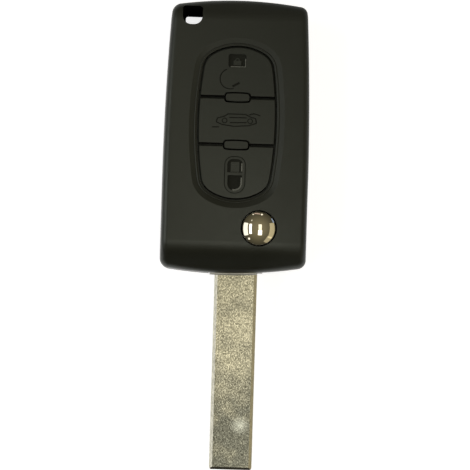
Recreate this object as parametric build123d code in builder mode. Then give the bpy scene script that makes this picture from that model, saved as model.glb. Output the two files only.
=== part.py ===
from build123d import *
import os
from math import copysign, cos, hypot, radians, sin

# Shell of a folding car key, lying on its back with the blade swung out.
# Origin: centre of the case's back face. +Z towards the button side, +Y towards the key ring,
# +X to the right as seen from the button side. All sizes in millimetres.

os.makedirs("parts", exist_ok=True)

# Case, outside
case_length = 60.92
case_width = 32.97
case_thickness = 15.0
parting_height = 7.5
ring_end_narrowing = 1.2
blade_end_left_bow = 1.12
blade_end_right_bow = 1.7
ring_end_bow = 1.35
straight_side = 20.1
draft_angle = 4.5
shadow_line = 0.15
ring_left_corner = 2.7
ring_right_corner = 2.2
blade_left_corner = 2.5
blade_right_corner = 2.3
front_edge_radius = 1.5
back_edge_radius = 1.4
blade_end_fall = 1.5
blade_end_fall_length = 5.6
ring_end_fall = 0.9
ring_end_fall_length = 3.8

# Case, walls and joint
front_skin = 1.8
back_skin = 1.6
side_wall = 1.6
wall_root = 0.3
inner_rib = 1.2
thin_rib = 1.0
lip_from_end = 9.46
lip_thickness = 0.8
lip_depth = 1.2
lip_gap = 0.1
snap_count = 3
snap_spacing = 15.0
snap_length = 5.0
snap_height = 0.35
snap_gap = 0.15

# Pivot and flip head
pivot_from_side = 10.99
pivot_from_end = 10.44
hub_radius = 6.5
head_thickness = 6.4
head_reach = 10.75
head_shoulder = 2.2
head_cheek_angle = 139.0
head_proud = 0.15
head_setback = 0.7
head_edge = 0.3
socket_wall = 1.1
swing_gap = 0.3
swing_rib_count = 9
swing_rib_start = 24.0
journal_gap = 0.05
floor_gap = 0.1
spring_cavity_radius = 5.2
head_web = 1.5

# Blade blank and its pin
blade_width = 9.55
blade_thickness = 2.6
blade_offset = 4.72
blade_out = 43.5
blade_tip_radius = 0.6
blade_bevel = 0.7
blade_bevel_depth = 0.45
tip_bevel = 0.65
tip_bevel_depth = 0.5
shoulder_depth = 4.2
tang_depth = 8.2
tang_width = 4.2
socket_gap = 0.05
slot_side_gap = 0.35
slot_height_gap = 0.55
pin_radius = 1.0
pin_wall = 0.4
pin_gap = 0.02
pin_from_shoulder = 1.6

# Release button and spring
button_radius = 3.7
button_dome = 1.35
button_gap = 0.28
stem_radius = 2.6
stem_gap = 0.3
stem_length = 4.3
lug_radius = 4.7
lug_width = 2.4
lug_height = 3.4
collar_wall = 1.4
spring_wire = 0.8
spring_radius = 3.8
spring_open_halves = 5
spring_gap = 0.1
spring_seat_radius = 3.0
spring_seat_height = 2.0
spring_seat_slot = 0.9

# Button pad
pad_ring_margin = 10.66
pad_button_margin = 2.38
pad_half_width = 8.68
pad_side_radius = 79.9
pad_end_radius = 10.88
pad_corner_radius = 4.4
pad_recess = 0.5
pad_recess_width = 1.65
cap_gap = 0.15
cap_travel = 0.6
upper_split = 5.62
lower_split = -4.8
cap_plate = 0.7
cap_bevel = 0.25
cap_wall = 1.0
cap_flange = 0.8
cap_flange_thickness = 0.7
plunger_radius = 1.6
plunger_clearance = 0.65
pip_length = 5.15
pip_width = 1.4
pip_bow = 0.15
pip_gap = 0.35
pip_proud = 0.25
bar_width = 2.6
bar_thickness = 0.7

# Rubber mat under the buttons
mat_thickness = 0.7
mat_margin = 1.0
mat_side_gap = 0.2
dome_radius = 2.2
dome_height = 0.45
dome_wall = 0.45
dome_taper = 45.0
peg_radius = 0.6
peg_shoulder_radius = 1.1
peg_hole_gap = 0.1
peg_spacing = 12.0

# Key-ring hole
ring_hole_width = 4.4
ring_hole_height = 4.1
ring_hole_from_side = 6.15
ring_hole_from_end = 4.1
ring_hole_top_radius = 0.6
ring_hole_low_radius = 1.9
ring_tube_wall = 1.8

# Seats for what the shell is made to hold
cell_radius = 8.0
cell_gap = 0.2
cell_from_ring_end = 21.5
nest_height = 3.0
nest_notch = 5.0
contact_thickness = 0.3
contact_width = 3.4
contact_height = 3.3
contact_arm = 6.0
post_radius = 1.3
post_pin_radius = 0.6
post_pin_height = 0.8
post_from_side = 4.2
post_from_slot = 7.67
post_from_blade_end = 17.0
post_from_ring_end = 4.4
slot_rib_spacing = 7.0

# Places that follow from the sizes above
half_length = case_length / 2
half_width = case_width / 2
pivot_x = half_width - pivot_from_side
pivot_y = pivot_from_end - half_length
head_bottom = parting_height - head_thickness / 2
head_top = parting_height + head_thickness / 2
head_end_y = pivot_y - head_reach
front_inside = case_thickness - front_skin
socket_left_x = pivot_x - blade_offset - blade_width / 2 - socket_wall
socket_right_x = pivot_x - blade_offset + blade_width / 2 + socket_wall
slot_left_x = pivot_x + blade_offset - blade_width / 2 - slot_side_gap
slot_half_height = blade_thickness / 2 + slot_height_gap
swing_top_y = pivot_y + hypot(socket_right_x - pivot_x, head_reach) + swing_gap
pad_high_y = half_length - pad_ring_margin
pad_low_y = pivot_y + button_radius + pad_button_margin
pad_half_length = (pad_high_y - pad_low_y) / 2
pad_y = (pad_high_y + pad_low_y) / 2
splits = (lower_split, upper_split)
cap_top = case_thickness - pad_recess
bar_top = front_inside - swing_gap
bar_bottom = bar_top - bar_thickness
plate_bottom = cap_top - cap_plate
flange_bottom = front_inside - swing_gap - cap_flange_thickness
mat_top = flange_bottom - cap_travel - cap_gap
mat_bottom = mat_top - mat_thickness
mat_room = mat_margin + mat_side_gap
lip_inset = side_wall + lip_gap
blade_x = pivot_x - blade_offset
pin_x = blade_x - blade_width / 2 + tang_width / 2
pin_y = head_end_y + shoulder_depth + pin_from_shoulder
button_shoulder = front_inside - swing_gap
lug_bottom = head_top - head_web - spring_gap
cell_x = slot_left_x - inner_rib - thin_rib - cell_gap - cell_radius
cell_y = half_length - cell_from_ring_end
ring_hole_x = ring_hole_from_side - half_width
ring_tube_right_x = ring_hole_x + ring_hole_width / 2 + ring_tube_wall
post_places = (
    (post_from_side - half_width, post_from_blade_end - half_length),
    (slot_left_x - post_from_slot, post_from_blade_end - half_length),
    ((ring_tube_right_x + slot_left_x - inner_rib) / 2, half_length - post_from_ring_end),
)
lip_length = case_length - 2 * lip_from_end
far = 2 * case_length


def case_outline(inset=0.0):
    """Plan of the case at its parting plane, drawn in by inset."""
    left_y = blade_end_left_bow - half_length
    right_y = blade_end_right_bow - half_length
    high_y = half_length - ring_end_bow
    side_y = straight_side - half_length
    high_x = half_width - ring_end_narrowing
    with BuildSketch() as outline:
        with BuildLine():
            ThreePointArc((-half_width, left_y), (0, -half_length), (half_width, right_y))
            Line((half_width, right_y), (half_width, side_y))
            TangentArc((half_width, side_y), (high_x, high_y), tangent=(0, 1))
            ThreePointArc((high_x, high_y), (0, half_length), (-high_x, high_y))
            TangentArc((-half_width, side_y), (-high_x, high_y), tangent=(0, 1))
            Line((-half_width, side_y), (-half_width, left_y))
        make_face()
        corners = (
            ((-half_width, left_y), blade_left_corner),
            ((half_width, right_y), blade_right_corner),
            ((-high_x, high_y), ring_left_corner),
            ((high_x, high_y), ring_right_corner),
        )
        if inset:
            offset(amount=-inset, kind=Kind.INTERSECTION)
        for place, radius in corners:
            corner = outline.vertices().sort_by_distance(place)[0]
            fillet(corner, max(radius - inset, thin_rib / 2))
    return outline.sketch


def case_band(outer, inner):
    """Band that follows the case outline from one inset to another."""
    with BuildSketch() as band:
        add(case_outline(outer))
        add(case_outline(inner), mode=Mode.SUBTRACT)
    return band.sketch


def case_half(inset, amount):
    """Half of the case form, raised from the parting plane by amount with drafted sides."""
    with BuildPart() as half:
        with BuildSketch(Plane.XY.offset(parting_height)):
            add(case_outline(inset))
        extrude(amount=amount)
        sides = half.faces().filter_by(lambda f: abs(f.normal_at().Z) < 0.5)
        draft(sides, Plane.XY.offset(parting_height), copysign(draft_angle, amount))
    return half.part


def parting_rebate():
    """Ring round the case just above the parting plane, which leaves the shadow line."""
    with BuildPart() as ring:
        with BuildSketch(Plane.XY.offset(parting_height)):
            Rectangle(2 * case_width, 2 * case_length)
        extrude(amount=shadow_line)
        add(case_half(shadow_line, 2 * shadow_line), mode=Mode.SUBTRACT)
    return ring.part


def front_profile(drop):
    """Side view up to the front face, which is flat and falls away in an arc at each end."""
    top = case_thickness - drop
    low_end = (-half_length, top - blade_end_fall)
    high_end = (half_length, top - ring_end_fall)
    low_flat = (blade_end_fall_length - half_length, top)
    high_flat = (half_length - ring_end_fall_length, top)
    with BuildSketch() as profile:
        with BuildLine():
            Line(low_flat, high_flat)
            TangentArc(high_flat, high_end, tangent=(1, 0))
            Polyline(high_end, (far, high_end[1]), (far, 0), (-far, 0), (-far, low_end[1]), low_end)
            TangentArc(low_flat, low_end, tangent=(-1, 0))
        make_face()
    return profile.sketch


def front_form(inset, drop):
    """Front half of the case form, drawn in by inset at the sides and by drop at the face."""
    with BuildPart() as form:
        add(case_half(inset, case_thickness - drop - parting_height))
        with BuildSketch(Plane.YZ):
            add(front_profile(drop))
        extrude(amount=case_width, both=True, mode=Mode.INTERSECT)
    return form.part


def head_outline():
    """Plan of the flip head at rest: the round hub with the blade's socket beside it."""
    cheek = radians(head_cheek_angle)
    cheek_point = (pivot_x + hub_radius * cos(cheek), pivot_y + hub_radius * sin(cheek))
    with BuildSketch() as outline:
        with BuildLine():
            Polyline(
                (socket_left_x, head_end_y - head_proud),
                (socket_left_x, pivot_y - head_shoulder),
                cheek_point,
                (pivot_x, pivot_y),
                (socket_right_x, pivot_y - spring_cavity_radius),
                (socket_right_x, head_end_y + head_setback),
                (socket_right_x - socket_wall, head_end_y + head_setback),
                (socket_right_x - socket_wall, head_end_y - head_proud),
                close=True,
            )
        make_face()
        with Locations((pivot_x, pivot_y)):
            Circle(hub_radius)
        add(case_outline(-head_proud), mode=Mode.INTERSECT)
    return outline.sketch


def swing_area():
    """Plan of everything that the head sweeps on its way round, with its clearance."""
    with BuildSketch() as area:
        add(head_outline())
        offset(amount=swing_gap, kind=Kind.INTERSECTION)
        with Locations((socket_left_x - swing_gap, pivot_y - head_shoulder)):
            Rectangle(far, far, align=(Align.MIN, Align.MAX))
        with Locations((2 * pivot_x - socket_right_x - swing_gap, swing_top_y)):
            Rectangle(far, far, align=(Align.MIN, Align.MAX))
    return area.sketch


def rib_star():
    """Stiffening ribs that run out from the pivot, kept inside the case and the sweep."""
    with BuildSketch() as star:
        with Locations((pivot_x, pivot_y)):
            with PolarLocations(0, swing_rib_count, start_angle=swing_rib_start):
                Rectangle(far, thin_rib, align=(Align.MIN, Align.CENTER))
        add(swing_area(), mode=Mode.INTERSECT)
        add(case_outline(side_wall - wall_root), mode=Mode.INTERSECT)
    return star.sketch


def inner_walls():
    """Walls of the head's pocket and of the ring hole, rooted in the case's side wall."""
    with BuildSketch() as walls:
        add(swing_area())
        offset(amount=inner_rib, kind=Kind.INTERSECTION)
        add(swing_area(), mode=Mode.SUBTRACT)
        add(ring_hole(ring_tube_wall))
        add(case_outline(side_wall - wall_root), mode=Mode.INTERSECT)
    return walls.sketch


def slot_partition(inset, grow=0.0):
    """Plan of the wall between the folded blade's channel and the board bay."""
    with BuildSketch() as wall:
        with Locations((slot_left_x, swing_top_y)):
            Rectangle(inner_rib + grow, far, align=(Align.MAX, Align.MIN))
        add(case_outline(inset), mode=Mode.INTERSECT)
    return wall.sketch


def blade_slot():
    """Plan of the channel that takes the folded blade, open at the side and the end."""
    with BuildSketch() as slot:
        with Locations((slot_left_x, pivot_y)):
            Rectangle(far, far, align=Align.MIN)
    return slot.sketch


def round_at_pivot(radius):
    """Circle on the pivot's axis."""
    with BuildSketch() as disc:
        with Locations((pivot_x, pivot_y)):
            Circle(radius)
    return disc.sketch


def lug_strip(grow):
    """Strip through the pivot, as wide as the release button's lugs and grown on both sides."""
    with BuildSketch() as strip:
        with Locations((pivot_x, pivot_y)):
            Rectangle(far, lug_width + 2 * grow)
    return strip.sketch


def pad_outline(grow=0.0):
    """Plan of the button pad: two shallow side arcs and two round ends."""
    with BuildSketch() as pad:
        SlotOverall(2 * (pad_half_length + grow), 2 * (pad_end_radius + grow), rotation=90)
        for side_x in (pad_half_width - pad_side_radius, pad_side_radius - pad_half_width):
            with Locations((side_x, 0)):
                Circle(pad_side_radius + grow, mode=Mode.INTERSECT)
        corners = pad.vertices().filter_by(lambda v: abs(v.Y) > pad_half_length / 2)
        fillet(corners, pad_corner_radius + grow)
    return pad.sketch.moved(Location((0, pad_y)))


def pad_frame(outer, inner):
    """Band that follows the pad's outline from one growth to another."""
    with BuildSketch() as frame:
        add(pad_outline(outer))
        add(pad_outline(inner), mode=Mode.SUBTRACT)
    return frame.sketch


def pad_strip(low, high):
    """Strip across the pad between two heights, both from the pad's centre."""
    with BuildSketch() as strip:
        with Locations((0, pad_y + (low + high) / 2)):
            Rectangle(case_width, high - low)
    return strip.sketch


def pip_outline(split, grow=0.0):
    """Plan of the raised bar on one split line, its long edges bowed a little outwards."""
    x = pip_length / 2 + grow
    y = pip_width / 2 + grow
    with BuildSketch() as pip:
        with BuildLine():
            ThreePointArc((-x, y), (0, y + pip_bow), (x, y))
            Line((x, y), (x, -y))
            ThreePointArc((x, -y), (0, -y - pip_bow), (-x, -y))
            Line((-x, -y), (-x, y))
        make_face()
        fillet(pip.vertices(), 0.7 * y)
    return pip.sketch.moved(Location((0, pad_y + split)))


def peg_row(split, radius):
    """Pair of round pegs or peg holes on one split line."""
    with BuildSketch() as pegs:
        with Locations((0, pad_y + split)):
            with GridLocations(peg_spacing, 0, 2, 1):
                Circle(radius)
    return pegs.sketch


def ring_hole(grow=0.0):
    """Plan of the key-ring hole: nearly square towards the end, round towards the pad."""
    with BuildSketch() as hole:
        Rectangle(ring_hole_width, ring_hole_height)
        fillet(hole.vertices().group_by(Axis.Y)[-1], ring_hole_top_radius)
        fillet(hole.vertices().group_by(Axis.Y)[0], ring_hole_low_radius)
        if grow:
            offset(amount=grow)
    return hole.sketch.moved(Location((ring_hole_x, half_length - ring_hole_from_end)))


def blade_plan(grow=0.0):
    """Plan of the blade blank with its stepped tang, whose left side is straight."""
    left = blade_x - blade_width / 2
    right = blade_x + blade_width / 2
    tip_y = head_end_y - blade_out
    with BuildSketch() as plan:
        with BuildLine():
            Polyline(
                (left, tip_y),
                (left, head_end_y + tang_depth),
                (left + tang_width, head_end_y + tang_depth),
                (left + tang_width, head_end_y + shoulder_depth),
                (right, head_end_y + shoulder_depth),
                (right, tip_y),
                close=True,
            )
        make_face()
        fillet(plan.vertices().group_by(Axis.Y)[0], blade_tip_radius)
        if grow:
            offset(amount=grow, kind=Kind.INTERSECTION)
    return plan.sketch


def pin_plan(grow=0.0):
    """Round section of the pin that holds the tang."""
    with BuildSketch() as plan:
        with Locations((pin_x, pin_y)):
            Circle(pin_radius + grow)
    return plan.sketch


def left_rows(count, spacing, length):
    """Rectangles down the left half of the case, which choose stretches of its wall."""
    with BuildSketch() as rows:
        with Locations((-half_width, 0)):
            with GridLocations(0, spacing, 1, count):
                Rectangle(half_width, length)
    return rows.sketch


# Front cover
with BuildPart() as front_cover:
    add(front_form(0, 0))
    face_rim = front_cover.faces().filter_by(lambda f: f.normal_at().Z > 0.7).edges()
    fillet(face_rim.filter_by(Axis.X, reverse=True), front_edge_radius)
    add(front_form(side_wall, front_skin), mode=Mode.SUBTRACT)
    add(parting_rebate(), mode=Mode.SUBTRACT)

    # Walls of the head's pocket, the collar round the button and the ring tube
    with BuildSketch(Plane.XY.offset(parting_height)):
        add(inner_walls())
    extrude(amount=front_inside - parting_height)
    with BuildSketch(Plane.XY.offset(head_top + swing_gap)):
        add(rib_star())
        add(round_at_pivot(lug_radius + stem_gap + collar_wall))
    extrude(amount=front_inside - head_top - swing_gap)

    # Frame that holds the rubber mat
    with BuildSketch(Plane.XY.offset(mat_bottom)):
        add(pad_outline(mat_room + thin_rib))
    extrude(amount=front_inside - mat_bottom)
    with BuildSketch(Plane.XY.offset(mat_bottom)):
        add(pad_outline(mat_room))
    extrude(amount=front_inside - mat_bottom, mode=Mode.SUBTRACT)

    # Root of the lip along the closed side
    with BuildSketch(Plane.XY.offset(parting_height)):
        add(case_band(side_wall / 2, lip_inset + lip_thickness))
        add(left_rows(1, 0, lip_length), mode=Mode.INTERSECT)
    extrude(amount=lip_depth)

    # Room for the head and the folded blade, open at the side and at both ends
    with BuildSketch(Plane.XY.offset(parting_height)):
        add(swing_area())
    extrude(amount=head_top + swing_gap - parting_height, mode=Mode.SUBTRACT)
    with BuildSketch(Plane.XY.offset(parting_height)):
        add(blade_slot())
    extrude(amount=slot_half_height, mode=Mode.SUBTRACT)
    with BuildSketch(Plane.XY.offset(parting_height)):
        add(slot_partition(side_wall, lip_gap))
    extrude(amount=slot_half_height + lip_gap, mode=Mode.SUBTRACT)

    # Sunk pad with its sloping border, and the opening for the caps
    with BuildSketch(Plane.XY.offset(front_inside)):
        add(pad_outline(cap_gap))
    extrude(amount=front_skin, mode=Mode.SUBTRACT)
    face = front_cover.faces().sort_by(Axis.Z)[-1]
    pad_rim = face.inner_wires()[0].edges()
    chamfer(pad_rim, pad_recess_width, pad_recess, reference=face)

    # Holes of the release button, of its lugs and of the key ring
    with BuildSketch(Plane.XY.offset(head_top)):
        add(round_at_pivot(button_radius + button_gap))
    extrude(amount=case_thickness - head_top, mode=Mode.SUBTRACT)
    with BuildSketch(Plane.XY.offset(head_top)):
        add(round_at_pivot(lug_radius + stem_gap))
    extrude(amount=front_inside - head_top, mode=Mode.SUBTRACT)
    with BuildSketch():
        add(ring_hole())
    extrude(amount=case_thickness, mode=Mode.SUBTRACT)

    # Bars across the pad opening, each with a raised pip and two shouldered pegs
    for split in splits:
        with BuildSketch(Plane.XY.offset(bar_bottom)):
            add(pad_outline(mat_room + thin_rib))
            add(pad_strip(split - bar_width / 2, split + bar_width / 2), mode=Mode.INTERSECT)
        extrude(amount=bar_thickness)
        with BuildSketch(Plane.XY.offset(bar_bottom)):
            add(pad_frame(mat_room + thin_rib, cap_gap + lip_gap))
            add(pad_strip(split - bar_width / 2, split + bar_width / 2), mode=Mode.INTERSECT)
        extrude(amount=front_inside - bar_bottom)
        with BuildSketch(Plane.XY.offset(bar_top)):
            add(pip_outline(split))
        extrude(amount=cap_top + pip_proud - bar_top)
        with BuildSketch(Plane.XY.offset(mat_top)):
            add(peg_row(split, peg_shoulder_radius))
        extrude(amount=bar_bottom - mat_top)
        with BuildSketch(Plane.XY.offset(mat_bottom)):
            add(peg_row(split, peg_radius))
        extrude(amount=mat_thickness)

    # Lip below the parting plane, with its snap bumps
    with BuildSketch(Plane.XY.offset(parting_height)):
        add(case_band(lip_inset, lip_inset + lip_thickness))
        add(left_rows(1, 0, lip_length), mode=Mode.INTERSECT)
    extrude(amount=-lip_depth)
    with BuildSketch(Plane.XY.offset(parting_height - lip_depth)):
        add(case_band(lip_inset - snap_height, lip_inset + lip_thickness / 2))
        add(left_rows(snap_count, snap_spacing, snap_length), mode=Mode.INTERSECT)
    extrude(amount=lip_depth / 2)
front_cover.part.label = "front_cover"
export_step(front_cover.part, "parts/front_cover.step")

# Back cover
with BuildPart() as back_cover:
    add(case_half(0, -parting_height))
    fillet(back_cover.faces().sort_by(Axis.Z)[0].edges(), back_edge_radius)
    add(case_half(side_wall, back_skin - parting_height), mode=Mode.SUBTRACT)

    # Inner walls, slot partition and the ribs that carry the folded blade
    with BuildSketch(Plane.XY.offset(back_skin)):
        add(inner_walls())
        add(slot_partition(side_wall - wall_root))
    extrude(amount=parting_height - back_skin)
    with BuildSketch(Plane.XY.offset(parting_height)):
        add(slot_partition(side_wall + wall_root))
    extrude(amount=slot_half_height)
    with BuildSketch(Plane.XY.offset(back_skin)):
        with Locations((slot_left_x, (swing_top_y + half_length) / 2)):
            slot_rib_count = int((half_length - swing_top_y) / slot_rib_spacing)
            with GridLocations(0, slot_rib_spacing, 1, slot_rib_count):
                Rectangle(far, thin_rib, align=(Align.MIN, Align.CENTER))
        add(case_outline(side_wall - wall_root), mode=Mode.INTERSECT)
    extrude(amount=parting_height - slot_half_height - back_skin)

    # Bearing ring of the head with its ribs, and the seat of the spring inside it
    with BuildSketch(Plane.XY.offset(back_skin)):
        add(rib_star())
        add(round_at_pivot(hub_radius + journal_gap + collar_wall))
    extrude(amount=head_bottom - swing_gap - back_skin)
    with BuildSketch(Plane.XY.offset(back_skin)):
        add(round_at_pivot(hub_radius + journal_gap))
    extrude(amount=head_bottom, mode=Mode.SUBTRACT)
    with BuildSketch(Plane.XY.offset(back_skin)):
        add(round_at_pivot(spring_seat_radius))
        with Locations((pivot_x, pivot_y)):
            Rectangle(2 * spring_seat_radius, spring_seat_slot, mode=Mode.SUBTRACT)
    extrude(amount=spring_seat_height)

    # Nest of the coin cell, open at two notches for its contacts
    with BuildSketch(Plane.XY.offset(back_skin)):
        with Locations((cell_x, cell_y)):
            Circle(cell_radius + cell_gap + thin_rib)
            Circle(cell_radius + cell_gap, mode=Mode.SUBTRACT)
            Rectangle(nest_notch, 3 * cell_radius, mode=Mode.SUBTRACT)
        add(case_outline(side_wall - wall_root), mode=Mode.INTERSECT)
    extrude(amount=nest_height)

    # Posts that carry the circuit board, stepped to a pin at the top
    with BuildSketch(Plane.XY.offset(back_skin)):
        with Locations(*post_places):
            Circle(post_radius)
    extrude(amount=parting_height + slot_half_height - back_skin)
    with BuildSketch(Plane.XY.offset(parting_height + slot_half_height)):
        with Locations(*post_places):
            Circle(post_pin_radius)
    extrude(amount=post_pin_height)

    # Room for the head and the folded blade, the ring hole and the snap pockets
    with BuildSketch(Plane.XY.offset(head_bottom - swing_gap)):
        add(swing_area())
    extrude(amount=parting_height + swing_gap - head_bottom, mode=Mode.SUBTRACT)
    with BuildSketch(Plane.XY.offset(parting_height - slot_half_height)):
        add(blade_slot())
    extrude(amount=2 * slot_half_height, mode=Mode.SUBTRACT)
    with BuildSketch():
        add(ring_hole())
    extrude(amount=parting_height, mode=Mode.SUBTRACT)
    with BuildSketch(Plane.XY.offset(parting_height - lip_depth - snap_gap)):
        add(case_band(lip_inset - snap_height - snap_gap, lip_inset + lip_thickness))
        add(left_rows(snap_count, snap_spacing, snap_length + 2 * snap_gap), mode=Mode.INTERSECT)
    extrude(amount=lip_depth / 2 + 2 * snap_gap, mode=Mode.SUBTRACT)
back_cover.part.label = "back_cover"
export_step(back_cover.part, "parts/back_cover.step")

# Button caps, from the key-ring end down: name, lower limit and upper limit of each
cap_spans = {
    "lock_button": (upper_split, pad_half_length),
    "boot_button": (lower_split, upper_split),
    "unlock_button": (-pad_half_length, lower_split),
}
for cap_name, (cap_low, cap_high) in cap_spans.items():
    low_end = cap_gap if cap_low in splits else -mat_room
    high_end = cap_gap if cap_high in splits else -mat_room
    low_step = bar_width / 2 + swing_gap if cap_low in splits else -mat_room
    high_step = bar_width / 2 + swing_gap if cap_high in splits else -mat_room
    with BuildPart() as cap:
        with BuildSketch(Plane.XY.offset(plate_bottom)):
            add(pad_outline(-cap_gap))
            add(pad_strip(cap_low + low_end, cap_high - high_end), mode=Mode.INTERSECT)
        extrude(amount=cap_plate)
        chamfer(cap.faces().sort_by(Axis.Z)[-1].edges(), cap_bevel)
        with BuildSketch(Plane.XY.offset(plate_bottom)):
            for split in splits:
                add(pip_outline(split, pip_gap))
        extrude(amount=cap_plate, mode=Mode.SUBTRACT)
        with BuildSketch(Plane.XY.offset(flange_bottom)):
            add(pad_outline(-cap_gap))
            add(pad_strip(cap_low + low_step, cap_high - high_step), mode=Mode.INTERSECT)
        extrude(amount=plate_bottom - flange_bottom)
        with BuildSketch(Plane.XY.offset(flange_bottom)):
            add(pad_outline(cap_flange - cap_gap))
            add(pad_strip(cap_low + low_step, cap_high - high_step), mode=Mode.INTERSECT)
        extrude(amount=cap_flange_thickness)
        with BuildSketch(Plane.XY.offset(flange_bottom)):
            add(pad_outline(-cap_gap - cap_wall))
            add(
                pad_strip(cap_low + low_step + cap_wall, cap_high - high_step - cap_wall),
                mode=Mode.INTERSECT,
            )
        extrude(amount=plate_bottom - flange_bottom, mode=Mode.SUBTRACT)
        with BuildSketch(Plane.XY.offset(mat_top + dome_height + plunger_clearance)):
            with Locations((0, pad_y + (cap_low + cap_high) / 2)):
                Circle(plunger_radius)
        extrude(amount=plate_bottom - mat_top - dome_height - plunger_clearance)
    cap.part.label = cap_name
    export_step(cap.part, f"parts/{cap_name}.step")

# Rubber mat with a hollow dome under each cap
with BuildPart() as button_mat:
    with BuildSketch(Plane.XY.offset(mat_bottom)):
        add(pad_outline(mat_margin))
        for split in splits:
            add(peg_row(split, peg_radius + peg_hole_gap), mode=Mode.SUBTRACT)
    extrude(amount=mat_thickness)
    for cap_low, cap_high in cap_spans.values():
        dome_place = (0, pad_y + (cap_low + cap_high) / 2)
        with BuildSketch(Plane.XY.offset(mat_top)):
            with Locations(dome_place):
                Circle(dome_radius)
        extrude(amount=dome_height, taper=dome_taper)
        with BuildSketch(Plane.XY.offset(mat_bottom)):
            with Locations(dome_place):
                Circle(dome_radius - dome_wall)
        extrude(amount=mat_thickness + dome_height - dome_wall, taper=dome_taper, mode=Mode.SUBTRACT)
button_mat.part.label = "button_mat"
export_step(button_mat.part, "parts/button_mat.step")

# Release button: polished dome, round stem and two lugs that lock the head
pivot_plane = Plane((pivot_x, pivot_y, 0), x_dir=(1, 0, 0), z_dir=(0, -1, 0))
with BuildPart() as release_button:
    with BuildSketch(pivot_plane):
        with BuildLine():
            TangentArc(
                (0, case_thickness + button_dome),
                (button_radius, case_thickness),
                tangent=(1, 0),
            )
            Polyline(
                (button_radius, case_thickness),
                (button_radius, button_shoulder),
                (stem_radius, button_shoulder),
                (stem_radius, button_shoulder - stem_length),
                (0, button_shoulder - stem_length),
                (0, case_thickness + button_dome),
            )
        make_face()
    revolve(axis=Axis((pivot_x, pivot_y, 0), (0, 0, 1)))
    with BuildSketch(Plane.XY.offset(lug_bottom)):
        add(round_at_pivot(lug_radius))
        add(lug_strip(0), mode=Mode.INTERSECT)
    extrude(amount=lug_height)
release_button.part.label = "release_button"
export_step(release_button.part, "parts/release_button.step")

# Coil spring that lifts the button and turns the head. Each half turn is a tilted round arc that
# leaves along Y, so it runs smoothly into the next. The turns at both ends lie nearly closed.
spring_low = back_skin + spring_gap + spring_wire / 2
spring_high = lug_bottom - spring_gap - spring_wire / 2
end_rise = (spring_wire + spring_gap) / 2
open_rise = (spring_high - spring_low - 4 * end_rise) / spring_open_halves
rises = [end_rise] * 2 + [open_rise] * spring_open_halves + [end_rise] * 2
with BuildPart() as release_spring:
    with BuildLine() as coil:
        wire_z = spring_low
        for index, rise in enumerate(rises):
            side = 1 if index % 2 == 0 else -1
            ThreePointArc(
                (pivot_x + side * spring_radius, pivot_y, wire_z),
                (pivot_x, pivot_y + side * spring_radius, wire_z + rise / 2),
                (pivot_x - side * spring_radius, pivot_y, wire_z + rise),
            )
            wire_z += rise
    with BuildSketch(Plane(origin=coil.line @ 0, z_dir=coil.line % 0)):
        Circle(spring_wire / 2)
    sweep()
release_spring.part.label = "release_spring"
export_step(release_spring.part, "parts/release_spring.step")

# Flip head: cast block with the hub, the spring's cavity and the blade's socket
with BuildPart() as flip_head:
    with BuildSketch(Plane.XY.offset(head_bottom)):
        add(head_outline())
    extrude(amount=head_thickness)
    chamfer(flip_head.faces().sort_by(Axis.Z)[-1].edges(), head_edge)
    chamfer(flip_head.faces().sort_by(Axis.Z)[0].edges(), head_edge)
    with BuildSketch(Plane.XY.offset(back_skin + floor_gap)):
        add(round_at_pivot(hub_radius))
    extrude(amount=parting_height - back_skin - floor_gap)
    with BuildSketch(Plane.XY.offset(back_skin)):
        add(round_at_pivot(spring_cavity_radius))
    extrude(amount=head_top - head_web - back_skin, mode=Mode.SUBTRACT)
    with BuildSketch(Plane.XY.offset(head_bottom)):
        add(round_at_pivot(lug_radius + stem_gap))
        add(lug_strip(stem_gap), mode=Mode.INTERSECT)
        add(round_at_pivot(stem_radius + stem_gap))
    extrude(amount=head_thickness, mode=Mode.SUBTRACT)
    with BuildSketch(Plane.XY.offset(parting_height)):
        add(blade_plan(socket_gap))
    extrude(amount=blade_thickness / 2 + socket_gap, both=True, mode=Mode.SUBTRACT)
    with BuildSketch(Plane.XY.offset(head_bottom)):
        add(pin_plan(pin_gap))
    extrude(amount=head_thickness, mode=Mode.SUBTRACT)
flip_head.part.label = "flip_head"
export_step(flip_head.part, "parts/flip_head.step")

# Blade blank: flat bar, bevelled along both edges, with a stepped tang
with BuildPart() as blade:
    with BuildSketch(Plane.XY.offset(parting_height)):
        add(blade_plan())
    extrude(amount=blade_thickness / 2, both=True)
    with BuildSketch(Plane.XZ):
        with Locations((blade_x, parting_height)):
            Polygon(
                (blade_width / 2, blade_bevel_depth - blade_thickness / 2),
                (blade_width / 2, blade_thickness / 2 - blade_bevel_depth),
                (blade_width / 2 - blade_bevel, blade_thickness / 2),
                (blade_bevel - blade_width / 2, blade_thickness / 2),
                (-blade_width / 2, blade_thickness / 2 - blade_bevel_depth),
                (-blade_width / 2, blade_bevel_depth - blade_thickness / 2),
                (blade_bevel - blade_width / 2, -blade_thickness / 2),
                (blade_width / 2 - blade_bevel, -blade_thickness / 2),
            )
    extrude(amount=far, both=True, mode=Mode.INTERSECT)
    with BuildSketch(Plane.YZ.offset(blade_x - blade_width)):
        with Locations((head_end_y - blade_out, parting_height)):
            Polygon(
                (0, tip_bevel_depth - blade_thickness / 2),
                (tip_bevel, -blade_thickness / 2),
                (far, -blade_thickness / 2),
                (far, blade_thickness / 2),
                (tip_bevel, blade_thickness / 2),
                (0, blade_thickness / 2 - tip_bevel_depth),
                align=None,
            )
    extrude(amount=2 * blade_width, mode=Mode.INTERSECT)
    with BuildSketch(Plane.XY.offset(head_bottom)):
        add(pin_plan(pin_gap))
    extrude(amount=head_thickness, mode=Mode.SUBTRACT)
blade.part.label = "blade"
export_step(blade.part, "parts/blade.step")

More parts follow.
